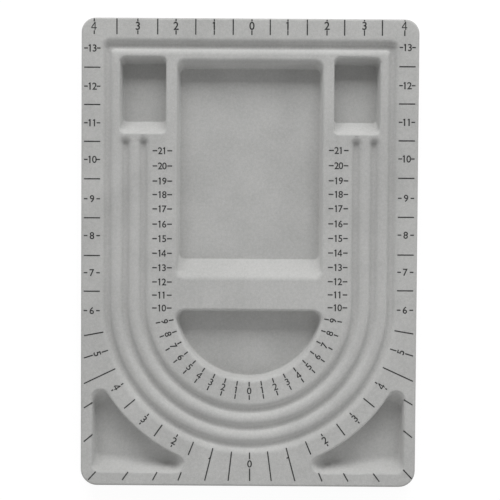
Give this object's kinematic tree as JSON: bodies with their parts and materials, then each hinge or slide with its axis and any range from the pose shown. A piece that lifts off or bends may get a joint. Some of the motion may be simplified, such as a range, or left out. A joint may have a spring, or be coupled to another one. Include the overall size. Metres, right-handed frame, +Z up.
{
  "type": "bead board",
  "caption": "Flat rectangular bead board: a thin formed tray with a flock lining, nested U-shaped layout channels and recessed trays that hold loose beads.",
  "frame": {"origin": "middle of the plane that the tray floors and the skirt's edge rest on", "axes": "+X to the user's right, +Y to the far edge with the closed end of the outer loop, +Z up out of the trays"},
  "size_m": [0.2286, 0.3174, 0.0145],
  "materials": {
    "sheet": "formed polystyrene sheet, satin, grey",
    "flock": "short flock pile, matt, grey",
    "ink": "printed scale marks on the pile, matt, dark grey"
  },
  "bodies": {
    "root": {"tray_shell": "sheet", "flock_lining": "flock"}
  },
  "joints": []
}
